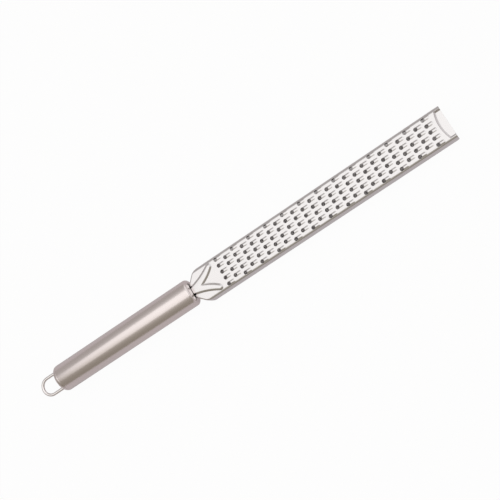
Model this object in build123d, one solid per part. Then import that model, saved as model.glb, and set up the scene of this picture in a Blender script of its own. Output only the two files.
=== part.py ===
from build123d import *
from math import cos, radians, sin, tan
import os

# A rasp zester lying along X, tip towards +X and teeth up.
# The origin is on the tube's axis, in the middle of the handle.

# Handle tube
handle_length = 120.0
handle_radius = 10.0
tube_wall = 0.8
front_lip_radius = 2.0
lip_flat_count = 3

# Rear cap, a plug pressed into the tube's open end
rear_edge_radius = 3.2
edge_flat_count = 3
spigot_length = 7.0
spigot_clearance = 0.05

# Hanging loop of round wire, drawn with flat sides
wire_radius = 1.1
wire_flat_count = 8
leg_spacing = 12.6
loop_reach = 16.7
leg_depth = 8.0
leg_clearance = 0.05

# Front plug, which holds the tang
plug_recess = 3.0
plug_length = 26.0
plug_clearance = 0.05
slot_clearance = 0.05

# Pressed sheet of the blade: a channel open below, with its top above the handle's axis
sheet = 0.5
blade_width = 25.0
body_length = 199.0
flange_depth = 8.6
top_above_axis = 1.2
bend_radius = 1.4
tip_corner_radius = 1.5

# Neck between the tube's mouth and the full width
tang_width = 11.4
tang_length = 24.0
neck_length = 7.4
neck_clearance = 0.2
neck_radius = 2.5
shoulder_radius = 6.5
flange_start = 0.3
flange_run = 6.8
flange_corner_radius = 3.0

# Teeth: long rows of five, with a short row of four halfway between them
row_pitch = 14.0
column_pitch = 4.8
long_row_tooth_count = 5
tip_margin = 13.1
heel_margin = 17.5
hole_radius = 1.3
hole_flat_count = 8
hood_width = 2.8
hood_lead = 0.35
hood_length = 5.05
hood_height = 0.95
hood_end_height = 0.5
hood_taper = 42.0
hood_inset = 0.3

# Y-shaped rib: half outline, from the tube's mouth forwards and from the centre line out
rib_height = 1.2
rib_taper = 35.0
rib_inset = 0.2
rib_stem_start = 2.5
rib_stem_half = 2.8
rib_waist_run = 7.8
rib_waist_half = 4.9
rib_outer_run = 16.5
rib_outer_half = 9.6
rib_end_run = 19.9
rib_end_half = 9.3
rib_inner_half = 7.1
rib_bend_run = 14.0
rib_bend_half = 3.1
rib_crotch_run = 9.0

# Step pressed down at the tip, with a curved front crease
step_depth = 2.0
step_length = 6.4
step_sagitta = 1.7
step_half = 10.1
step_wall_run = 2.2
step_side_run = 1.1
step_grow = 0.15

overrun = 1.0
bite = 0.1

front_x = handle_length / 2
rear_x = -handle_length / 2
top_z = top_above_axis
bottom_z = top_z - flange_depth
neck_x = front_x + neck_clearance
full_x = front_x + neck_length
tip_x = full_x + body_length
last_row_x = tip_x - tip_margin
first_row_x = full_x + heel_margin
tube_rear_x = rear_x + rear_edge_radius
inner_radius = handle_radius - tube_wall


def arc_points(center, radius, start, end, flats):
    """Points along an arc that is drawn in flats, both ends included."""
    x, y = center
    angles = [radians(start + (end - start) * step / flats) for step in range(flats + 1)]
    return [(x + radius * cos(angle), y + radius * sin(angle)) for angle in angles]


def side_plate(points, rounded, half_width):
    """A plate with the given side view, its rounded corners given as (index, radius)."""
    face = make_face(Polyline(*[(x, 0, z) for x, z in points], close=True))
    for index, radius in rounded:
        x, z = points[index]
        corner = face.vertices().sort_by_distance((x, 0, z))[0]
        face = fillet(corner, radius)
    return extrude(face, amount=half_width, dir=(0, 1, 0), both=True)


def plan_face(points, z):
    return make_face(Polyline(*[(x, y, z) for x, y in points], close=True))


def handle_tube():
    rim_x = front_x - front_lip_radius
    mouth_radius = handle_radius - front_lip_radius
    points = [
        (tube_rear_x, inner_radius),
        (tube_rear_x, handle_radius),
        *arc_points((rim_x, mouth_radius), front_lip_radius, 90, 0, lip_flat_count),
        (front_x - tube_wall, mouth_radius),
        (rim_x, inner_radius),
    ]
    return revolve(make_face(Polyline(*points, close=True)), axis=Axis.X)


def front_plug():
    radius = inner_radius - plug_clearance
    body = Cylinder(radius, plug_length, rotation=(0, 90, 0), align=(Align.CENTER, Align.CENTER, Align.MAX))
    slot_width = tang_width + 2 * slot_clearance
    slot_height = sheet + 2 * slot_clearance
    slot = Box(3 * plug_length, slot_width, slot_height)
    return Pos(front_x - plug_recess, 0, 0) * (body - Pos(0, 0, top_z - sheet / 2) * slot)


def rear_cap():
    """A solid plug with a rounded back edge and a blind hole for each leg of the loop."""
    edge_x = rear_x + rear_edge_radius
    flat_radius = handle_radius - rear_edge_radius
    spigot_radius = inner_radius - spigot_clearance
    points = [
        (rear_x, 0),
        *arc_points((edge_x, flat_radius), rear_edge_radius, 180, 90, edge_flat_count),
        (tube_rear_x, spigot_radius),
        (tube_rear_x + spigot_length, spigot_radius),
        (tube_rear_x + spigot_length, 0),
    ]
    cap = revolve(make_face(Polyline(*points, close=True)), axis=Axis.X)
    drill = Cylinder(wire_radius + leg_clearance, 2 * (leg_depth + leg_clearance), rotation=(0, 90, 0))
    for side in (-1, 1):
        cap -= Pos(rear_x, side * leg_spacing / 2, 0) * drill
    return cap


def hanging_loop():
    half = leg_spacing / 2
    bend_x = rear_x - loop_reach + wire_radius + half
    end_x = rear_x + leg_depth
    path = Wire([
        Line((end_x, half), (bend_x, half)),
        CenterArc((bend_x, 0), half, 90, 180),
        Line((bend_x, -half), (end_x, -half)),
    ])
    outline = RegularPolygon(radius=wire_radius, side_count=wire_flat_count, rotation=180 / wire_flat_count)
    return sweep(Plane(origin=(end_x, half, 0), z_dir=(-1, 0, 0)) * outline, path=path)


def channel_block(inset):
    """The channel's outside, or its inside where inset is the sheet's thickness."""
    half = blade_width / 2
    tang_half = tang_width / 2
    shoulder_x = neck_x + half - tang_half
    start_x = neck_x - 2 * neck_radius - overrun
    end_x = tip_x + bend_radius + overrun
    points = [
        (start_x, -tang_half),
        (neck_x, -tang_half),
        (shoulder_x, -half),
        (end_x, -half),
        (end_x, half),
        (shoulder_x, half),
        (neck_x, tang_half),
        (start_x, tang_half),
    ]
    face = plan_face(points, top_z)
    for index, radius in ((1, neck_radius), (2, shoulder_radius), (5, shoulder_radius), (6, neck_radius)):
        x, y = points[index]
        corner = face.vertices().sort_by_distance((x, y, top_z))[0]
        face = fillet(corner, radius)
    if inset:
        face = offset(face, amount=-inset, kind=Kind.INTERSECTION)
    block = extrude(face, amount=flange_depth + overrun, dir=(0, 0, -1))
    rim = block.edges().group_by(Axis.Z)[-1]
    return Pos(0, 0, -inset) * fillet(rim, bend_radius - inset)


def side_view():
    """Everything inside the blade's side outline, with the flanges run out at the neck."""
    flange_x = front_x + flange_start
    points = [
        (flange_x - overrun, top_z),
        (tip_x, top_z),
        (tip_x, bottom_z),
        (flange_x + flange_run, bottom_z),
        (flange_x, top_z - sheet),
        (flange_x - overrun, top_z - sheet),
    ]
    return side_plate(points, ((2, tip_corner_radius), (3, flange_corner_radius)), blade_width)


def step_block(grow, drop):
    """The tip's pressed step: walls that slope from the outer crease to the floor."""
    faces = []
    for inset, wall_x, level in (
        (0, 0, top_z),
        (step_side_run, step_wall_run, top_z - step_depth),
    ):
        half = step_half - inset + grow
        middle_x = tip_x - step_length + wall_x - grow
        corner_x = middle_x + step_sagitta
        end_x = tip_x + overrun
        z = level - drop
        outline = [
            ThreePointArc((corner_x, -half, z), (middle_x, 0, z), (corner_x, half, z)),
            Line((corner_x, half, z), (end_x, half, z)),
            Line((end_x, half, z), (end_x, -half, z)),
            Line((end_x, -half, z), (corner_x, -half, z)),
        ]
        faces.append(make_face(outline))
    return loft(faces, ruled=True)


def rib_block(level, inset, sink):
    """The Y-shaped rib with sloping flanks. Its outline, drawn in by inset, is true at level
    below the sheet's top, and the block begins lower by sink."""
    z = top_z - level - sink
    upper = [
        (-rib_stem_start, rib_stem_half),
        (rib_waist_run, rib_waist_half),
        (rib_outer_run, rib_outer_half),
        (rib_end_run, rib_end_half),
        (rib_end_run, rib_inner_half),
        (rib_bend_run, rib_bend_half),
        (rib_crotch_run, 0),
    ]
    outline = []
    for side in (-1, 1):
        stem, waist, outer, end, inner, bend, crotch = [(front_x + x, side * y, z) for x, y in upper]
        outline += [
            ThreePointArc(stem, waist, outer),
            ThreePointArc(outer, end, inner),
            ThreePointArc(inner, bend, crotch),
        ]
    stem_x = front_x - rib_stem_start
    outline.append(Line((stem_x, rib_stem_half, z), (stem_x, -rib_stem_half, z)))
    growth = sink * tan(radians(rib_taper)) - inset
    face = make_face(outline)
    if growth:
        face = offset(face, amount=growth, kind=Kind.INTERSECTION)
    return extrude(face, amount=rib_height + sink, dir=(0, 0, 1), taper=rib_taper)


def tooth_places():
    """Centres of the tooth holes, in as many rows from the tip as the blade's length holds."""
    places = []
    step = row_pitch / 2
    for row in range(int((last_row_x - first_row_x) / step) + 1):
        count = long_row_tooth_count - row % 2
        x = last_row_x - row * step
        for column in range(count):
            places.append((x, (column - (count - 1) / 2) * column_pitch))
    return places


def hood_block(level, inset, sink):
    """A tooth's hood with its mouth over the hole and its back falling to the tip.
    Its outline, drawn in by inset, is true at level below the sheet's top, and the block
    begins lower by sink."""
    growth = sink * tan(radians(hood_taper)) - inset
    half = hood_width / 2 + growth
    length = hood_length + growth
    foot_z = -level - sink
    rise = hood_height + sink + bite
    mouth_x = inset - hood_lead
    start_x = mouth_x - rise * tan(radians(hood_taper))
    points = [(start_x, -half), (length, -half), (length, half), (start_x, half)]
    body = extrude(plan_face(points, foot_z), amount=rise, dir=(0, 0, 1), taper=hood_taper)
    back = [
        (mouth_x, foot_z),
        (mouth_x, hood_height - level),
        (length, hood_end_height - level),
        (length, foot_z),
    ]
    return body & side_plate(back, (), hood_width)


def grater_blade():
    channel = channel_block(0) - channel_block(sheet)
    channel += step_block(step_grow, sheet)
    channel = channel & side_view()
    channel -= step_block(0, 0)
    tang_end_x = front_x - plug_recess - tang_length
    tang_reach = neck_x + overrun - tang_end_x
    tang = Box(tang_reach, tang_width, sheet, align=(Align.MIN, Align.CENTER, Align.MAX))
    body = channel + Pos(tang_end_x, 0, top_z) * tang
    body = body + rib_block(0, 0, 0) - rib_block(sheet, rib_inset, bite)
    hood = hood_block(0, 0, sheet / 2)
    cavity = hood_block(sheet, hood_inset, bite)
    hole_outline = RegularPolygon(radius=hole_radius, side_count=hole_flat_count, rotation=180 / hole_flat_count)
    hole = extrude(hole_outline, amount=hood_height + sheet, both=True)
    places = [Pos(x, y, top_z) for x, y in tooth_places()]
    body = body.fuse(*[place * hood for place in places])
    return body.cut(*[place * (cavity + hole) for place in places])


os.makedirs("parts", exist_ok=True)
for name, make in (
    ("grater_blade", grater_blade),
    ("handle_tube", handle_tube),
    ("front_plug", front_plug),
    ("rear_cap", rear_cap),
    ("hanging_loop", hanging_loop),
):
    export_step(make(), f"parts/{name}.step")
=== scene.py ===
from math import cos, pi, radians, sin, tan

import bmesh
import bpy
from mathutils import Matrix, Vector


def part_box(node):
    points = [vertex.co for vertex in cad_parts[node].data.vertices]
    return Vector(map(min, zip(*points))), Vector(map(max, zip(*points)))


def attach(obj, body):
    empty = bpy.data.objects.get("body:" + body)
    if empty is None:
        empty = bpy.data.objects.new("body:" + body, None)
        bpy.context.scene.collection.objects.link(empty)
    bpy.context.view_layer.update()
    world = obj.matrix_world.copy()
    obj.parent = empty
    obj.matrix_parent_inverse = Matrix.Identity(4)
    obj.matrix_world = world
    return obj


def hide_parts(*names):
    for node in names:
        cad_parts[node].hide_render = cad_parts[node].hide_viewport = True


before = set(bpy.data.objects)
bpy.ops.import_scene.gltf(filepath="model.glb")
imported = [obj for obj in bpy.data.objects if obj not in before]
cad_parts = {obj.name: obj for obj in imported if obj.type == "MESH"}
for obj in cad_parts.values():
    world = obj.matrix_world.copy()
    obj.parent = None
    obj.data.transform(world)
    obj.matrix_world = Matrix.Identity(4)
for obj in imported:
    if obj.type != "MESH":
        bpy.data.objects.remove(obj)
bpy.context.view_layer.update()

mm = 0.001
hair = 0.01 * mm  # what is closer than this counts as the same place
proud = 0.1 * mm  # what stands out of the flat by more is pressed
weld = 0.001 * mm  # points closer than this become one
level = 0.9999  # a flat face's normal is at least this upright
upright = 0.1  # and a standing face's normal is at most this upright

bladeLow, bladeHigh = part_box("grater_blade")
tubeLow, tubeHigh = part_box("handle_tube")
capLow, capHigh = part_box("rear_cap")
plugLow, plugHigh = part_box("front_plug")
loopLow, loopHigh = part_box("hanging_loop")
print("frame loaded:", ", ".join(sorted(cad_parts)))


# Small helpers for picking things in edit mode, as a click or a box select would

def choose(*pieces):
    for thing in bpy.context.selected_objects:
        thing.select_set(False)
    for piece in pieces:
        piece.select_set(True)
    bpy.context.view_layer.objects.active = pieces[0]


def fresh(name):
    piece = bpy.context.object
    piece.name = name
    piece.data.name = name
    bpy.ops.object.transform_apply(location=True, rotation=True, scale=True)
    return piece


def openUp(piece, mode="VERT"):
    choose(piece)
    bpy.ops.object.mode_set(mode="EDIT")
    bpy.ops.mesh.select_mode(type=mode)


def closeUp():
    bpy.ops.object.mode_set(mode="OBJECT")


def pickAll():
    bpy.ops.mesh.select_all(action="SELECT")


def pick(piece, mode, test):
    bpy.ops.mesh.select_mode(type=mode)
    bpy.ops.mesh.select_all(action="DESELECT")
    mesh = bmesh.from_edit_mesh(piece.data)
    for part in {"VERT": mesh.verts, "EDGE": mesh.edges, "FACE": mesh.faces}[mode]:
        if test(part):
            part.select_set(True)
    mesh.select_flush_mode()
    bmesh.update_edit_mesh(piece.data)


def middle(edge):
    return (edge.verts[0].co + edge.verts[1].co) / 2


# Small helpers for working on what is picked, or on a whole piece

def pull(x=0, z=0):
    # the picked edges are drawn out into new faces
    bpy.ops.mesh.extrude_edges_move(TRANSFORM_OT_translate={"value": (x, 0, z)})


def faceOut():
    pickAll()
    bpy.ops.mesh.normals_make_consistent(inside=False)


def faceUp(piece, face):
    # the whole skin is turned over if this face of it looks down
    if face.normal.z < 0:
        openUp(piece, "FACE")
        pickAll()
        bpy.ops.mesh.flip_normals()
        closeUp()


def apply(piece, kind, **settings):
    choose(piece)
    modifier = piece.modifiers.new(kind.lower(), kind)
    for key, value in settings.items():
        setattr(modifier, key, value)
    bpy.ops.object.modifier_apply(modifier=modifier.name)


def cutWith(piece, cutter):
    apply(piece, "BOOLEAN", object=cutter, operation="DIFFERENCE", solver="EXACT")
    bpy.data.objects.remove(cutter)


def block(name, place, size):
    bpy.ops.mesh.primitive_cube_add(size=1, location=place)
    bpy.context.object.scale = size
    return fresh(name)


def turned(name, stations, sides, closed=False):
    # a ring pulled along the handle's axis from station to station
    x, radius = stations[0]
    bpy.ops.mesh.primitive_circle_add(
        vertices=sides, radius=radius, fill_type="NOTHING", location=(x, 0, 0), rotation=(0, pi / 2, 0))
    piece = fresh(name)
    openUp(piece)
    pickAll()
    for (xWas, radiusWas), (xNow, radiusNow) in zip(stations, stations[1:]):
        pull(x=xNow - xWas)
        grow = radiusNow / radiusWas
        bpy.ops.transform.resize(value=(1, grow, grow), center_override=(xNow, 0, 0))
    if closed:
        pickAll()
        bpy.ops.mesh.fill_holes(sides=0)
    faceOut()
    closeUp()
    return piece


def arcPoints(center, radius, start, end, steps):
    angles = [radians(start + (end - start) * step / steps) for step in range(steps + 1)]
    return [(center[0] + radius * cos(a), center[1] + radius * sin(a)) for a in angles]


def arcThrough(first, via, last, steps):
    # points of the circle arc through three points of a flat drawing
    a, b, c = (Vector(p) for p in (first, via, last))
    aa, bb, cc = (p.length_squared for p in (a, b, c))
    turn = 2 * (a.x * (b.y - c.y) + b.x * (c.y - a.y) + c.x * (a.y - b.y))
    centerX = (aa * (b.y - c.y) + bb * (c.y - a.y) + cc * (a.y - b.y)) / turn
    centerY = (aa * (c.x - b.x) + bb * (a.x - c.x) + cc * (b.x - a.x)) / turn
    center = Vector((centerX, centerY))
    spoke = a - center
    sweep = spoke.angle_signed(b - center) + (b - center).angle_signed(c - center)
    found = []
    for step in range(steps + 1):
        angle = -sweep * step / steps
        found.append((
            center.x + spoke.x * cos(angle) - spoke.y * sin(angle),
            center.y + spoke.x * sin(angle) + spoke.y * cos(angle),
        ))
    return found


def seat(piece, node, material, smoothAngle=32):
    # last steps for every piece: shading, finish, and the solid that it stands for
    choose(piece)
    bpy.ops.object.shade_smooth_by_angle(angle=radians(smoothAngle), keep_sharp_edges=False)
    piece.data.materials.clear()
    piece.data.materials.append(material)
    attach(piece, "root")
    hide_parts(node)
    print("made", piece.name, len(piece.data.polygons), "faces")


# Camera, where the picture was taken from

camera = dict(
    place=(0.2712, -0.1454, 0.6599), turn=(3.336, 18.036, -31.717), lens=73.47, sensor=36, nearest=10 * mm)


def setCamera():
    bpy.ops.object.camera_add(location=camera["place"], rotation=[radians(a) for a in camera["turn"]])
    shot = bpy.context.object
    shot.name = "camera"
    shot.data.lens = camera["lens"]
    shot.data.sensor_width = camera["sensor"]
    shot.data.clip_start = camera["nearest"]
    bpy.context.scene.camera = shot


setCamera()
print("camera set")


# Small helpers for wiring materials and the studio

def newNode(tree, kind, **settings):
    node = tree.nodes.new(kind)
    for key, value in settings.items():
        setattr(node, key, value)
    return node


def newGroup(name, inputs, outputs):
    # a node group with its two ends
    group = bpy.data.node_groups.new(name, "ShaderNodeTree")
    for way, sockets in (("INPUT", inputs), ("OUTPUT", outputs)):
        for socket, kind in sockets.items():
            group.interface.new_socket(socket, in_out=way, socket_type="NodeSocket" + kind)
    return group, newNode(group, "NodeGroupInput"), newNode(group, "NodeGroupOutput")


def worked(tree, operation, first, second=0.0):
    # one sum; the second part is a socket or a number
    node = newNode(tree, "ShaderNodeMath", operation=operation)
    tree.links.new(first, node.inputs[0])
    if isinstance(second, float):
        node.inputs[1].default_value = second
    else:
        tree.links.new(second, node.inputs[1])
    return node.outputs[0]


def stepped(tree, source, low, high):
    # 0 below low, 1 above high and soft between
    node = newNode(tree, "ShaderNodeMapRange", interpolation_type="SMOOTHSTEP")
    node.inputs["From Min"].default_value = low
    node.inputs["From Max"].default_value = high
    tree.links.new(source, node.inputs["Value"])
    return node.outputs["Result"]


def spread(tree, source, ends):
    # 0 to 1 becomes one end to the other
    node = newNode(tree, "ShaderNodeMapRange")
    node.inputs["To Min"].default_value, node.inputs["To Max"].default_value = ends
    tree.links.new(source, node.inputs["Value"])
    return node.outputs["Result"]


def blended(tree, share, first, second):
    # each of the two is a socket or a colour
    node = newNode(tree, "ShaderNodeMix", data_type="RGBA")
    tree.links.new(share, node.inputs["Factor"])
    for socket, color in (("A", first), ("B", second)):
        if isinstance(color, tuple):
            node.inputs[socket].default_value = (*color, 1)
        else:
            tree.links.new(color, node.inputs[socket])
    return node.outputs["Result"]


def ramp(tree, source, stops):
    node = newNode(tree, "ShaderNodeValToRGB")
    line = node.color_ramp.elements
    while len(line) < len(stops):
        line.new(0.5)  # the loop below moves it to its own place
    for mark, (place, color) in zip(line, stops):
        mark.position = place
        mark.color = (*color, 1)
    tree.links.new(source, node.inputs[0])
    return node.outputs[0]


# Finishes

marks = dict(
    lineDetail=4, lineRoughness=0.65, cloudDetail=3, edgeSamples=4, rubbedFrom=0.999, rubbedTo=0.9)


def grainGroup():
    # fine brushed lines and slow clouding, both in the piece's own space
    group, entry, leave = newGroup(
        "satinGrain",
        {"Line Scale": "Vector", "Cloud Scale": "Float"},
        {"Lines": "Float", "Clouds": "Float"})
    place = newNode(group, "ShaderNodeTexCoord")
    stretch = newNode(group, "ShaderNodeMapping")
    lines = newNode(group, "ShaderNodeTexNoise")
    lines.inputs["Scale"].default_value = 1
    lines.inputs["Detail"].default_value = marks["lineDetail"]
    lines.inputs["Roughness"].default_value = marks["lineRoughness"]
    clouds = newNode(group, "ShaderNodeTexNoise")
    clouds.inputs["Detail"].default_value = marks["cloudDetail"]
    link = group.links.new
    link(place.outputs["Object"], stretch.inputs["Vector"])
    link(entry.outputs["Line Scale"], stretch.inputs["Scale"])
    link(stretch.outputs["Vector"], lines.inputs["Vector"])
    link(place.outputs["Object"], clouds.inputs["Vector"])
    link(entry.outputs["Cloud Scale"], clouds.inputs["Scale"])
    link(lines.outputs["Fac"], leave.inputs["Lines"])
    link(clouds.outputs["Fac"], leave.inputs["Clouds"])
    return group


def edgeGroup():
    # rounds every corner a little for the light, and marks where hands and food rub it bright
    group, entry, leave = newGroup(
        "rubbedEdges",
        {"Width": "Float", "Surface": "Vector"},
        {"Normal": "Vector", "Rubbed": "Float"})
    rounded = newNode(group, "ShaderNodeBevel", samples=marks["edgeSamples"])
    flat = newNode(group, "ShaderNodeNewGeometry")
    match = newNode(group, "ShaderNodeVectorMath", operation="DOT_PRODUCT")
    share = newNode(group, "ShaderNodeMapRange")
    share.inputs["From Min"].default_value = marks["rubbedFrom"]
    share.inputs["From Max"].default_value = marks["rubbedTo"]
    link = group.links.new
    link(entry.outputs["Width"], rounded.inputs["Radius"])
    link(entry.outputs["Surface"], rounded.inputs["Normal"])
    link(rounded.outputs["Normal"], match.inputs[0])
    link(flat.outputs["Normal"], match.inputs[1])
    link(match.outputs["Value"], share.inputs["Value"])
    link(rounded.outputs["Normal"], leave.inputs["Normal"])
    link(share.outputs["Result"], leave.inputs["Rubbed"])
    return group


def insideGroup():
    # marks the channel under the sheet, where the blade gets its painted shade: past a start, between the
    # sides and below a level
    group, entry, leave = newGroup(
        "insideOfChannel",
        {"Start": "Float", "Half Width": "Float", "Level": "Float"},
        {"Inside": "Float"})
    place = newNode(group, "ShaderNodeTexCoord")
    split = newNode(group, "ShaderNodeSeparateXYZ")
    group.links.new(place.outputs["Object"], split.inputs[0])
    aside = worked(group, "ABSOLUTE", split.outputs["Y"])
    past = worked(group, "GREATER_THAN", split.outputs["X"], entry.outputs["Start"])
    between = worked(group, "LESS_THAN", aside, entry.outputs["Half Width"])
    below = worked(group, "LESS_THAN", split.outputs["Z"], entry.outputs["Level"])
    every = worked(group, "MULTIPLY", worked(group, "MULTIPLY", between, below), past)
    group.links.new(every, leave.inputs["Inside"])
    return group


grain = grainGroup()
edges = edgeGroup()
inside = insideGroup()


def steel(name, settings):
    material = bpy.data.materials.new(name)
    material.use_nodes = True
    tree = material.node_tree
    shader = tree.nodes["Principled BSDF"]
    shader.inputs["Metallic"].default_value = 1
    brush = newNode(tree, "ShaderNodeGroup", node_tree=grain)
    brush.inputs["Line Scale"].default_value = settings["lineScale"]
    brush.inputs["Cloud Scale"].default_value = settings["cloudScale"]
    bump = newNode(tree, "ShaderNodeBump")
    bump.inputs["Strength"].default_value = settings["bumpStrength"]
    bump.inputs["Distance"].default_value = settings["bumpDepth"]
    edge = newNode(tree, "ShaderNodeGroup", node_tree=edges)
    edge.inputs["Width"].default_value = settings["edgeWidth"]
    color = blended(tree, brush.outputs["Clouds"], settings["shade"], settings["light"])
    # painted shade: the channel under the sheet is darkened to near black in the base colour
    if "channelShade" in settings:
        channelShadeMask = newNode(tree, "ShaderNodeGroup", node_tree=inside)
        channelShadeMask.inputs["Start"].default_value = settings["channelShadeFrom"]
        channelShadeMask.inputs["Half Width"].default_value = settings["channelShadeHalf"]
        channelShadeMask.inputs["Level"].default_value = settings["channelShadeBelow"]
        color = blended(tree, channelShadeMask.outputs["Inside"], color, settings["channelShade"])
    wear = worked(tree, "MULTIPLY", edge.outputs["Rubbed"], settings["wear"])
    color = blended(tree, wear, color, settings["rubbed"])
    link = tree.links.new
    link(color, shader.inputs["Base Color"])
    link(spread(tree, brush.outputs["Lines"], settings["roughness"]), shader.inputs["Roughness"])
    link(brush.outputs["Lines"], bump.inputs["Height"])
    link(bump.outputs["Normal"], edge.inputs["Surface"])
    link(edge.outputs["Normal"], shader.inputs["Normal"])
    return material


def nylon(name, settings):
    material = bpy.data.materials.new(name)
    material.use_nodes = True
    tree = material.node_tree
    shader = tree.nodes["Principled BSDF"]
    place = newNode(tree, "ShaderNodeTexCoord")
    grit = newNode(tree, "ShaderNodeTexNoise")
    grit.inputs["Scale"].default_value = settings["grit"]
    bump = newNode(tree, "ShaderNodeBump")
    bump.inputs["Distance"].default_value = settings["gritDepth"]
    color = blended(tree, grit.outputs["Fac"], settings["shade"], settings["light"])
    link = tree.links.new
    link(place.outputs["Object"], grit.inputs["Vector"])
    link(color, shader.inputs["Base Color"])
    link(spread(tree, grit.outputs["Fac"], settings["roughness"]), shader.inputs["Roughness"])
    link(grit.outputs["Fac"], bump.inputs["Height"])
    link(bump.outputs["Normal"], shader.inputs["Normal"])
    return material


# the blade's under side, in the channel under the sheet, is painted near black: painted shade for the
# channel's shadow
bladeFinish = dict(
    shade=(0.775, 0.757, 0.757), light=(0.81, 0.792, 0.792), roughness=(0.16, 0.24),
    lineScale=(900, 6000, 6000), cloudScale=60, bumpStrength=0.15, bumpDepth=0.01 * mm,
    edgeWidth=0.2 * mm, rubbed=(0.9, 0.88, 0.88), wear=0.5,
    channelShade=(0.1, 0.095, 0.09), channelShadeFrom=tubeHigh.x + 12 * mm, channelShadeHalf=12.2 * mm, channelShadeBelow=-0.9 * mm)
handleFinish = dict(
    shade=(0.805, 0.737, 0.722), light=(0.855, 0.785, 0.77), roughness=(0.18, 0.27),
    lineScale=(9000, 700, 700), cloudScale=45, bumpStrength=0.2, bumpDepth=0.01 * mm,
    edgeWidth=0.3 * mm, rubbed=(0.9, 0.86, 0.84), wear=0.6)
wireFinish = dict(
    shade=(0.83, 0.79, 0.78), light=(0.88, 0.85, 0.84), roughness=(0.12, 0.2),
    lineScale=(700, 5000, 5000), cloudScale=80, bumpStrength=0.1, bumpDepth=0.005 * mm,
    edgeWidth=0.15 * mm, rubbed=(0.92, 0.9, 0.88), wear=0.5)
bungFinish = dict(
    shade=(0.012, 0.011, 0.01), light=(0.022, 0.02, 0.019), roughness=(0.45, 0.6),
    grit=9000, gritDepth=0.02 * mm)

bladeSteel = steel("bladeSteel", bladeFinish)
handleSteel = steel("handleSteel", handleFinish)
wireSteel = steel("wireSteel", wireFinish)
bungNylon = nylon("bungNylon", bungFinish)
print("finishes made")


# Handle tube, whose front is drawn in to a slot round the tang and the foot of its rib

handle = dict(
    wall=0.8 * mm, lipRadius=2.7 * mm, lipSteps=10, sides=128, edge=0.12 * mm, edgeAngle=60,
    edgeSteps=2, slotHalf=6.1 * mm, slotLow=0.35 * mm, slotHigh=3.3 * mm)


def makeHandleTube():
    radius = tubeHigh.y
    lipRadius = handle["lipRadius"]
    rimX = tubeHigh.x - lipRadius
    lip = arcPoints((rimX, radius - lipRadius), lipRadius, 90, 0, handle["lipSteps"])
    tube = turned("handleTube", [(tubeLow.x, radius)] + lip, handle["sides"])
    openUp(tube)
    pick(tube, "EDGE", lambda e: min(v.co.x for v in e.verts) > tubeHigh.x - hair)
    bpy.ops.mesh.edge_face_add()
    faceOut()
    closeUp()
    apply(tube, "SOLIDIFY", thickness=handle["wall"], offset=-1, use_even_offset=True)
    slotPlace = (tubeHigh.x, 0, (handle["slotLow"] + handle["slotHigh"]) / 2)
    slotSize = (2 * lipRadius, 2 * handle["slotHalf"], handle["slotHigh"] - handle["slotLow"])
    cutWith(tube, block("mouthSlot", slotPlace, slotSize))
    apply(
        tube, "BEVEL", width=handle["edge"], segments=handle["edgeSteps"], limit_method="ANGLE",
        angle_limit=radians(handle["edgeAngle"]))
    seat(tube, "handle_tube", handleSteel)


makeHandleTube()


# Rear cap, a plug with a rounded back edge and a hole for each leg of the loop

cap = dict(edgeRadius=3.2 * mm, edgeSteps=10, sides=128, holeSides=32, holeGap=0.05 * mm)
wire = dict(radius=1.1 * mm, legSpacing=12.6 * mm, sides=24, bendSteps=36)


def makeRearCap():
    radius = capHigh.y
    edgeX = capLow.x + cap["edgeRadius"]
    spigot = plugHigh.y
    stations = arcPoints((edgeX, radius - cap["edgeRadius"]), cap["edgeRadius"], 180, 90, cap["edgeSteps"])
    stations += [(edgeX, spigot), (capHigh.x, spigot)]
    piece = turned("rearCap", stations, cap["sides"], closed=True)
    bores = []
    for side in (-1, 1):
        bpy.ops.mesh.primitive_cylinder_add(
            vertices=cap["holeSides"], radius=wire["radius"] + cap["holeGap"],
            depth=2 * (loopHigh.x - capLow.x), location=(capLow.x, side * wire["legSpacing"] / 2, 0),
            rotation=(0, pi / 2, 0))
        bores.append(fresh("legBore"))
    choose(*bores)
    bpy.ops.object.join()
    cutWith(piece, bpy.context.object)
    seat(piece, "rear_cap", handleSteel)


makeRearCap()


# Hanging loop, one bent wire

def makeHangingLoop():
    half = wire["legSpacing"] / 2
    bendX = loopLow.x + wire["radius"] + half
    bpy.ops.mesh.primitive_circle_add(
        vertices=wire["sides"], radius=wire["radius"], fill_type="NOTHING",
        location=(loopHigh.x, half, 0), rotation=(0, pi / 2, 0))
    loop = fresh("hangingLoop")
    openUp(loop)
    pickAll()
    pull(x=bendX - loopHigh.x)
    bpy.ops.mesh.spin(steps=wire["bendSteps"], angle=-pi, center=(bendX, 0, 0), axis=(0, 0, 1))
    pull(x=loopHigh.x - bendX)
    pickAll()
    bpy.ops.mesh.remove_doubles(threshold=weld)
    bpy.ops.mesh.fill_holes(sides=0)
    faceOut()
    closeUp()
    seat(loop, "hanging_loop", wireSteel)


makeHangingLoop()


# Front bung, which holds the tang behind the tube's mouth, in a slot that follows the blade's sizes

bung = dict(edge=0.4 * mm, sides=96, slotGap=0.05 * mm)
blade = dict(
    sheet=0.5 * mm, flange=8.6 * mm, bend=1.15 * mm, bendSteps=6, smoothAngle=25,
    neckGap=0.2 * mm, neckRun=5 * mm, tangWidth=11.4 * mm, notch=0.3 * mm,
    neckRadius=2.5 * mm, shoulderRadius=6.5 * mm, shoulderAngle=45, cornerSteps=6,
    flangeStart=0.3 * mm, flangeRun=6.8 * mm, flangeCorner=3 * mm, tipCorner=1.5 * mm, roundCuts=4,
    roll=2.6 * mm, rollCuts=6, rollSnap=0.02 * mm,
    spare=4.5 * mm, spareCutShare=0.75, dissolveAngle=1, margin=0.05 * mm, fillScale=1000)
topZ = bladeLow.z + blade["flange"]


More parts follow.
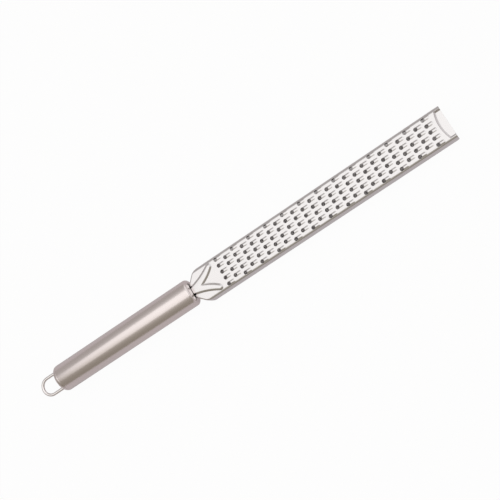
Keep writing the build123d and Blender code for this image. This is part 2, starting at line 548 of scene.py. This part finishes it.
def makeFrontBung():
    radius = plugHigh.y
    edgeX = plugHigh.x - bung["edge"]
    stations = [(plugLow.x, radius), (edgeX, radius), (plugHigh.x, radius - bung["edge"])]
    piece = turned("frontBung", stations, bung["sides"], closed=True)
    slotPlace = (plugLow.x, 0, topZ - blade["sheet"] / 2)
    slotSize = (
        3 * (plugHigh.x - plugLow.x),  # long enough to leave at both ends
        blade["tangWidth"] + 2 * bung["slotGap"],
        blade["sheet"] + 2 * bung["slotGap"],
    )
    cutWith(piece, block("tangSlot", slotPlace, slotSize))
    seat(piece, "front_plug", bungNylon)


makeFrontBung()


# Blade: one skin of pressed sheet, whose thickness and wide bends come last

teeth = dict(
    rowPitch=14 * mm, columnPitch=4.8 * mm, longRow=5, rows=25, tipMargin=13.1 * mm,
    holeRadius=1.42 * mm, holeSides=24, width=3.12 * mm, length=5.2 * mm, ring=0.22 * mm,
    height=0.55 * mm, drop=0.2 * mm, flank=0.8 * mm, corner=1.4 * mm, cornerSteps=4, foot=0.07 * mm,
    crown=0.28 * mm, roundSteps=2, frontPull=0.1 * mm, block=1 * mm, punch=6 * mm, weld=0.005 * mm,
    stray=0.005 * mm, strayShares=(12.9, 7.3, 1.7))
rib = dict(
    height=1.2 * mm, flank=1.25 * mm, crown=0.4 * mm, crownSteps=2, steps=14,
    stem=(-2.5, 2.9), waist=(9, 6), outer=(17.4, 10.2), end=(20.8, 9), inner=(20, 6.4),
    bend=(15.2, 2.75), crotch=(10, 0))  # in mm, from the tube's front and the middle line
step = dict(
    depth=1.8 * mm, length=6.6 * mm, sagitta=2 * mm, half=10.4 * mm, sideRun=1.1 * mm, wallRun=1.4 * mm,
    steps=20, spareShare=0.6)


def isFlat(face):
    return abs(face.normal.z) > level


def isRaised(edge):
    return min(v.co.z for v in edge.verts) > topZ + proud


def flatPanel(name, startX, endX, width):
    bpy.ops.mesh.primitive_plane_add(size=1, location=((startX + endX) / 2, 0, topZ))
    bpy.context.object.scale = (endX - startX, width, 1)
    return fresh(name)


def flatShape(name, points):
    # a filled circle whose points are moved onto an outline
    bpy.ops.mesh.primitive_circle_add(vertices=len(points), radius=mm, fill_type="NGON")
    piece = fresh(name)
    for vert, (x, y) in zip(piece.data.vertices, points):
        vert.co = (x, y, topZ)
    openUp(piece, "FACE")
    faceOut()
    closeUp()
    faceUp(piece, piece.data.polygons[0])
    return piece


def markOutline(piece):
    # the open edges that the blade's flat is filled up to
    pick(piece, "EDGE", lambda e: len(e.link_faces) < 2)
    bpy.ops.mesh.mark_seam()


def bladeBody():
    # the flat, its two sides pulled down, and the narrow bend between
    neckX = tubeHigh.x + blade["neckGap"]
    backX = neckX - blade["neckRun"]
    half = bladeHigh.y
    tangHalf = blade["tangWidth"] / 2
    shoulderX = neckX + half - tangHalf
    endX = bladeHigh.x + blade["spare"]

    def isSide(edge):
        return backX + hair < middle(edge).x < endX - hair

    body = flatPanel("graterBlade", shoulderX, endX, 2 * half)
    openUp(body)
    pick(body, "EDGE", lambda e: abs(middle(e).x - shoulderX) < hair)
    pull(x=neckX - shoulderX)
    bpy.ops.transform.resize(value=(1, tangHalf / half, 1), center_override=(neckX, 0, topZ))
    pull(x=-blade["neckRun"])
    pickAll()
    bpy.ops.mesh.dissolve_limited(angle_limit=radians(blade["dissolveAngle"]))
    setback = tan(radians(blade["shoulderAngle"] / 2))
    for cornerX, radius in ((neckX, blade["neckRadius"]), (shoulderX, blade["shoulderRadius"])):
        pick(body, "VERT", lambda v: abs(v.co.x - cornerX) < hair)
        bpy.ops.mesh.bevel(offset=radius * setback, segments=blade["cornerSteps"], affect="VERTICES")
    pick(body, "EDGE", isSide)
    pull(z=-blade["flange"])
    pick(body, "EDGE", lambda e: isSide(e) and middle(e).z > topZ - hair)
    bpy.ops.mesh.bevel(offset=blade["bend"], segments=blade["bendSteps"], affect="EDGES")
    closeUp()
    return body


def cutAcross(body, point, normal):
    openUp(body)
    pickAll()
    bpy.ops.mesh.bisect(plane_co=point, plane_no=normal, clear_outer=True)
    closeUp()


def roundOff(body, center, radius, sweep):
    # a lower corner is rounded by a few tangent cuts, turned from straight down towards one end
    for cut in range(1, blade["roundCuts"]):
        turn = sweep * cut / blade["roundCuts"]
        normal = Vector((sin(turn), 0, -cos(turn)))
        cutAcross(body, center + normal * radius, normal)


def runOutFlanges(body):
    # the sides start from nothing at the handle
    start = Vector((tubeHigh.x + blade["flangeStart"], 0, topZ - blade["sheet"]))
    slope = Vector((blade["flangeRun"], 0, bladeLow.z - topZ + blade["sheet"])).normalized()
    outward = Vector((slope.z, 0, -slope.x))
    cutAcross(body, start, outward)
    corner = start + slope * ((bladeLow.z - start.z) / slope.z)
    fall = outward.angle(Vector((0, 0, -1)))
    back = blade["flangeCorner"] * tan(fall / 2)
    roundOff(body, corner + Vector((back, 0, blade["flangeCorner"])), blade["flangeCorner"], -fall)
    tipCenter = Vector((bladeHigh.x - blade["tipCorner"], 0, bladeLow.z + blade["tipCorner"]))
    roundOff(body, tipCenter, blade["tipCorner"], pi / 2)


def toothPlaces():
    # each tooth strays by a few microns, so that no three corners line up in the fill
    lastX = bladeHigh.x - teeth["tipMargin"]
    perRow, perColumn, perTurn = teeth["strayShares"]
    places = []
    for row in range(teeth["rows"]):
        count = teeth["longRow"] - row % 2
        for column in range(count):
            x = lastX - row * teeth["rowPitch"] / 2
            y = (column - (count - 1) / 2) * teeth["columnPitch"]
            turn = perRow * row + perColumn * column
            strayX = teeth["stray"] * sin(turn)
            strayY = teeth["stray"] * cos(perTurn * turn)
            places.append(Vector((x + strayX, y + strayY, 0)))
    return places


def makeTooth():
    # one tooth: a tongue pressed up, highest where the round hole cuts it open
    radius = teeth["holeRadius"]

    def isFoot(edge):
        # where the tongue's flank leaves the ring round it
        tilts = [abs(face.normal.z) for face in edge.link_faces]
        onFlat = max(v.co.z for v in edge.verts) < topZ + hair
        return onFlat and len(tilts) == 2 and max(tilts) > level > min(tilts)

    def isWaste(face):
        # the block's lower half and the wall that the punch leaves
        atPunch = all(abs(v.co.xy.length - radius) < hair for v in face.verts)
        return min(v.co.z for v in face.verts) < topZ - teeth["block"] / 2 or (
            atPunch and abs(face.normal.z) < upright)

    def isToothOutline(edge):
        # the open edge in the flat, apart from the hole's own
        onFlat = max(v.co.z for v in edge.verts) < topZ + weld
        return edge.is_boundary and onFlat and max(v.co.xy.length for v in edge.verts) > radius + hair

    tooth = flatPanel("tooth", -2 * radius, teeth["length"], teeth["width"])
    openUp(tooth)
    pick(tooth, "VERT", lambda v: v.co.x > 0)
    bpy.ops.mesh.bevel(offset=teeth["corner"], segments=teeth["cornerSteps"], affect="VERTICES")
    bpy.ops.mesh.select_mode(type="FACE")
    pickAll()
    bpy.ops.mesh.inset(thickness=teeth["ring"], depth=0)
    bpy.ops.mesh.inset(thickness=teeth["flank"], depth=teeth["height"])
    pick(tooth, "VERT", lambda v: v.co.z > topZ + proud and v.co.x > 0)
    bpy.ops.transform.translate(value=(-teeth["frontPull"], 0, -teeth["drop"]))
    pick(tooth, "EDGE", isRaised)
    bpy.ops.mesh.bevel(offset=teeth["crown"], segments=teeth["roundSteps"], affect="EDGES")
    pick(tooth, "EDGE", isFoot)
    bpy.ops.mesh.bevel(offset=teeth["foot"], segments=teeth["roundSteps"], affect="EDGES")
    pick(tooth, "EDGE", lambda e: e.is_boundary)
    pull(z=-teeth["block"])
    bpy.ops.mesh.edge_face_add()
    faceOut()
    bpy.ops.mesh.bisect(plane_co=(0, 0, 0), plane_no=(1, 0, 0), clear_inner=True, use_fill=True)
    closeUp()
    bpy.ops.mesh.primitive_cylinder_add(
        vertices=teeth["holeSides"], radius=radius, depth=teeth["punch"], location=(0, 0, topZ))
    cutWith(tooth, fresh("punch"))
    openUp(tooth, "FACE")
    pick(tooth, "FACE", isWaste)
    bpy.ops.mesh.delete(type="FACE")
    pick(tooth, "EDGE", isToothOutline)
    bpy.ops.mesh.mark_seam()
    closeUp()
    choose(tooth, makeRim(radius))
    bpy.ops.object.join()
    openUp(tooth)
    pickAll()
    bpy.ops.mesh.remove_doubles(threshold=teeth["weld"])
    closeUp()
    print("tooth", len(tooth.data.polygons), "faces")
    return tooth


def makeRim(radius):
    # the hole's half that lies away from the tongue
    bpy.ops.mesh.primitive_circle_add(
        vertices=teeth["holeSides"], radius=radius, fill_type="NOTHING", location=(0, 0, topZ))
    rim = fresh("rim")
    openUp(rim)
    pick(rim, "VERT", lambda v: v.co.x > hair)
    bpy.ops.mesh.delete(type="VERT")
    markOutline(rim)
    closeUp()
    return rim


def makeRib():
    # the Y pressed up at the neck
    stem, waist, outer, end, inner, bend, crotch = (
        (tubeHigh.x + rib[key][0] * mm, rib[key][1] * mm)
        for key in ("stem", "waist", "outer", "end", "inner", "bend", "crotch"))
    upper = arcThrough(stem, waist, outer, rib["steps"])
    upper += arcThrough(outer, end, inner, rib["steps"] // 2)[1:]
    upper += arcThrough(inner, bend, crotch, rib["steps"])[1:]
    lower = [(x, -y) for x, y in reversed(upper[:-1])]
    piece = flatShape("rib", upper + lower)
    openUp(piece, "FACE")
    pickAll()
    bpy.ops.mesh.inset(thickness=rib["flank"], depth=rib["height"])
    pick(piece, "EDGE", isRaised)
    bpy.ops.mesh.bevel(offset=rib["crown"], segments=rib["crownSteps"], affect="EDGES")
    markOutline(piece)
    closeUp()
    return piece


def makeStep():
    # the floor pressed down at the tip, behind a curved crease
    middleX = bladeHigh.x - step["length"]
    cornerX = middleX + step["sagitta"]
    endX = bladeHigh.x + step["spareShare"] * blade["spare"]
    half = step["half"]
    points = arcThrough((cornerX, -half), (middleX, 0), (cornerX, half), step["steps"])
    points += [(endX, half), (endX, -half)]
    piece = flatShape("step", points)
    openUp(piece, "FACE")
    pickAll()
    bpy.ops.mesh.inset(thickness=step["sideRun"], depth=-step["depth"])
    wallX = cornerX + 2 * step["sideRun"]
    pick(piece, "VERT", lambda v: v.co.z < topZ - step["depth"] / 2 and v.co.x < wallX)
    bpy.ops.transform.translate(value=(step["wallRun"] - step["sideRun"], 0, 0))
    markOutline(piece)
    closeUp()
    return piece


def placeCopies(piece, places):
    copies = []
    for place in places:
        twin = piece.copy()
        twin.data = piece.data.copy()
        bpy.context.scene.collection.objects.link(twin)
        twin.location = place
        copies.append(twin)
    bpy.data.objects.remove(piece)
    choose(*copies)
    bpy.ops.object.transform_apply(location=True, rotation=False, scale=False)
    bpy.ops.object.join()
    return bpy.context.object


def openWindow(body):
    # the flat becomes a window with a seam round it, and the tang is drawn back from the neck

    def overMiddle(face):
        sides = [v.co.y for v in face.verts]
        return isFlat(face) and min(sides) < 0 < max(sides)

    cutAcross(body, (bladeHigh.x + blade["spareCutShare"] * blade["spare"], 0, 0), (1, 0, 0))
    openUp(body, "FACE")
    pick(body, "FACE", isFlat)
    bpy.ops.mesh.inset(thickness=blade["margin"], depth=0, use_boundary=False)
    closeUp()
    neckX = min(v.co.x for v in body.data.vertices)
    neckHalf = max(v.co.y for v in body.data.vertices if v.co.x < neckX + hair)
    openUp(body, "EDGE")
    pick(body, "EDGE", lambda e: e.is_boundary and all(v.co.x < neckX + hair for v in e.verts))
    pull(x=-blade["notch"])
    narrow = blade["tangWidth"] / 2 / neckHalf
    bpy.ops.transform.resize(value=(1, narrow, 1), center_override=(0, 0, topZ))
    pull(x=bladeLow.x - neckX + blade["notch"])
    pick(body, "FACE", overMiddle)
    bpy.ops.mesh.dissolve_faces()
    bpy.ops.mesh.region_to_loop()
    bpy.ops.mesh.mark_seam()
    pick(body, "FACE", overMiddle)
    bpy.ops.mesh.delete(type="ONLY_FACE")
    closeUp()
    print("blade body ready", len(body.data.polygons), "faces")


def scaleAll(factor):
    pickAll()
    bpy.ops.transform.resize(value=(factor, factor, factor), center_override=(0, 0, 0))


def fillFlat(body):
    # between the seams of the window, the teeth, the rib and the step; in metres the fill is too coarse
    openUp(body, "EDGE")
    scaleAll(blade["fillScale"])
    pick(body, "EDGE", lambda e: e.seam)
    bpy.ops.mesh.fill(use_beauty=True)
    scaleAll(1 / blade["fillScale"])
    bpy.ops.mesh.mark_seam(clear=True)
    bpy.ops.mesh.remove_doubles(threshold=weld)
    bpy.ops.mesh.normals_make_consistent(inside=False)
    bpy.ops.mesh.bisect(plane_co=(bladeHigh.x, 0, 0), plane_no=(1, 0, 0), clear_outer=True)
    closeUp()
    faceUp(body, max(body.data.polygons, key=lambda f: f.area if isFlat(f) else 0))
    print("flat filled", len(body.data.polygons), "faces")


def rollEdges(body):
    # the flat and its outer teeth fall away towards the sides: the narrow bend becomes a wide one
    start = bladeHigh.y - blade["roll"]
    width = blade["roll"] - blade["bend"]
    openUp(body)
    for side in (-1, 1):
        for cut in range(blade["rollCuts"]):
            y = side * (start + width * cut / blade["rollCuts"])
            pickAll()
            bpy.ops.mesh.bisect(plane_co=(0, y, 0), plane_no=(0, 1, 0), threshold=blade["rollSnap"])
    closeUp()
    fall = (blade["roll"] ** 2 - width ** 2) ** 0.5
    for vert in body.data.vertices:
        along = max(0, abs(vert.co.y) - start)
        onArc = min(along, width)
        arcDrop = blade["roll"] - (blade["roll"] ** 2 - onArc ** 2) ** 0.5
        drop = arcDrop + (along - onArc) * width / fall
        share = min(1, (vert.co.z - bladeLow.z) / (blade["flange"] - blade["bend"]))
        vert.co.z -= drop * share


def makeBlade():
    body = bladeBody()
    runOutFlanges(body)
    openWindow(body)
    rows = placeCopies(makeTooth(), toothPlaces())
    choose(body, rows, makeRib(), makeStep())
    bpy.ops.object.join()
    fillFlat(body)
    apply(
        body, "SOLIDIFY", thickness=blade["sheet"], offset=-1, use_even_offset=True,
        use_quality_normals=True)
    rollEdges(body)
    seat(body, "grater_blade", bladeSteel, blade["smoothAngle"])


makeBlade()


# Room: pale floor, one soft box overhead and a studio that darkens towards the near side

room = dict(
    floorSize=4, floorGap=0.05 * mm, floorColor=(0.8, 0.78, 0.78), floorRoughness=0.9, floorGloss=0.1,
    floorInMetal=(0.52, 0.48, 0.49), whiteShare=0.96, metalShare=0.8,
    shadeLow=(0.075, -0.0095), shadeHigh=(0.262, 0.0134), shadeFade=1.8 * mm)
softBox = dict(place=(-0.1, 0.05, 0.9), size=(1.9, 1.0), watts=2.2, color=(1, 1, 1))
studio = dict(
    near=[(0.0, (0.29, 0.265, 0.225)), (0.3, (0.30, 0.275, 0.235)), (0.6, (0.35, 0.325, 0.285)),
          (0.8, (0.48, 0.45, 0.41)), (0.9, (0.68, 0.66, 0.64)), (1.0, (0.76, 0.74, 0.72))],
    far=[(0.0, (0.43, 0.405, 0.39)), (0.3, (0.435, 0.41, 0.395)), (0.5, (0.46, 0.44, 0.425)),
         (0.65, (0.54, 0.52, 0.51)), (0.8, (0.72, 0.70, 0.69)), (1.0, (0.8, 0.79, 0.78))],
    sideFade=0.25, end=(0.92, 0.91, 0.91), endFrom=(0.25, -0.5), endTo=(0.6, -0.15))


def pastShade(tree, along, axis):
    # 0 on the strip of floor under the blade, 1 beside it
    low, high = room["shadeLow"][axis], room["shadeHigh"][axis]
    half = (high - low) / 2
    aside = worked(tree, "ABSOLUTE", worked(tree, "SUBTRACT", along, (low + high) / 2))
    return stepped(tree, aside, half, half + room["shadeFade"])


def seenStraight(tree, rays):
    # 1 where the camera looks straight at it or through glass
    return worked(tree, "MAXIMUM", rays.outputs["Is Camera Ray"], rays.outputs["Is Transmission Ray"])


def mixedShader(tree, share, first, second):
    node = newNode(tree, "ShaderNodeMixShader")
    for source, socket in zip((share, first, second), node.inputs):
        tree.links.new(source, socket)
    return node.outputs[0]


def floorMaterial():
    # paper that takes a shadow under the blade; beside it, white to the camera and grey in the metal
    material = bpy.data.materials.new("paleFloor")
    material.use_nodes = True
    tree = material.node_tree
    paper = tree.nodes["Principled BSDF"]
    paper.inputs["Base Color"].default_value = (*room["floorColor"], 1)
    paper.inputs["Roughness"].default_value = room["floorRoughness"]
    paper.inputs["Specular IOR Level"].default_value = room["floorGloss"]
    white = newNode(tree, "ShaderNodeEmission")
    dim = newNode(tree, "ShaderNodeEmission")
    dim.inputs["Color"].default_value = (*room["floorInMetal"], 1)
    rays = newNode(tree, "ShaderNodeLightPath")
    place = newNode(tree, "ShaderNodeTexCoord")
    split = newNode(tree, "ShaderNodeSeparateXYZ")
    tree.links.new(place.outputs["Object"], split.inputs[0])
    clear = worked(tree, "MAXIMUM", *(pastShade(tree, split.outputs[axis], axis) for axis in (0, 1)))
    straight = seenStraight(tree, rays)
    glossy = worked(tree, "MULTIPLY", rays.outputs["Is Glossy Ray"], clear)
    metalShare = worked(tree, "MULTIPLY", glossy, room["metalShare"])
    inMetal = mixedShader(tree, metalShare, paper.outputs[0], dim.outputs[0])
    whiteShare = worked(tree, "MULTIPLY", worked(tree, "MULTIPLY", straight, clear), room["whiteShare"])
    seen = mixedShader(tree, whiteShare, inMetal, white.outputs[0])
    tree.links.new(seen, tree.nodes["Material Output"].inputs["Surface"])
    return material


def makeStudio():
    # the light round the object by direction, white where the camera looks straight at it
    world = bpy.data.worlds.new("studio")
    bpy.context.scene.world = world
    world.use_nodes = True
    tree = world.node_tree
    way = newNode(tree, "ShaderNodeTexCoord")
    split = newNode(tree, "ShaderNodeSeparateXYZ")
    tree.links.new(way.outputs["Generated"], split.inputs[0])
    x, y, z = split.outputs
    farShare = stepped(tree, y, -studio["sideFade"], studio["sideFade"])
    sides = blended(tree, farShare, ramp(tree, z, studio["near"]), ramp(tree, z, studio["far"]))
    limits = zip((x, y), studio["endFrom"], studio["endTo"])
    pastEnds = (stepped(tree, along, low, high) for along, low, high in limits)
    endShare = worked(tree, "MULTIPLY", *pastEnds)
    around = blended(tree, endShare, sides, studio["end"])
    soft = tree.nodes["Background"]
    tree.links.new(around, soft.inputs["Color"])
    white = newNode(tree, "ShaderNodeBackground")
    white.inputs["Color"].default_value = (1, 1, 1, 1)
    rays = newNode(tree, "ShaderNodeLightPath")
    seen = mixedShader(tree, seenStraight(tree, rays), soft.outputs[0], white.outputs[0])
    tree.links.new(seen, tree.nodes["World Output"].inputs["Surface"])


def makeRoom():
    bpy.ops.mesh.primitive_plane_add(size=room["floorSize"], location=(0, 0, tubeLow.z - room["floorGap"]))
    floor = bpy.context.object
    floor.name = "floor"
    floor.data.materials.append(floorMaterial())
    bpy.ops.object.light_add(type="AREA", location=softBox["place"])
    light = bpy.context.object
    light.name = "softBox"
    light.data.shape = "RECTANGLE"
    light.data.size, light.data.size_y = softBox["size"]
    light.data.energy = softBox["watts"]
    light.data.color = softBox["color"]
    makeStudio()
    bpy.context.scene.view_settings.view_transform = "Standard"


makeRoom()
print("room lit")
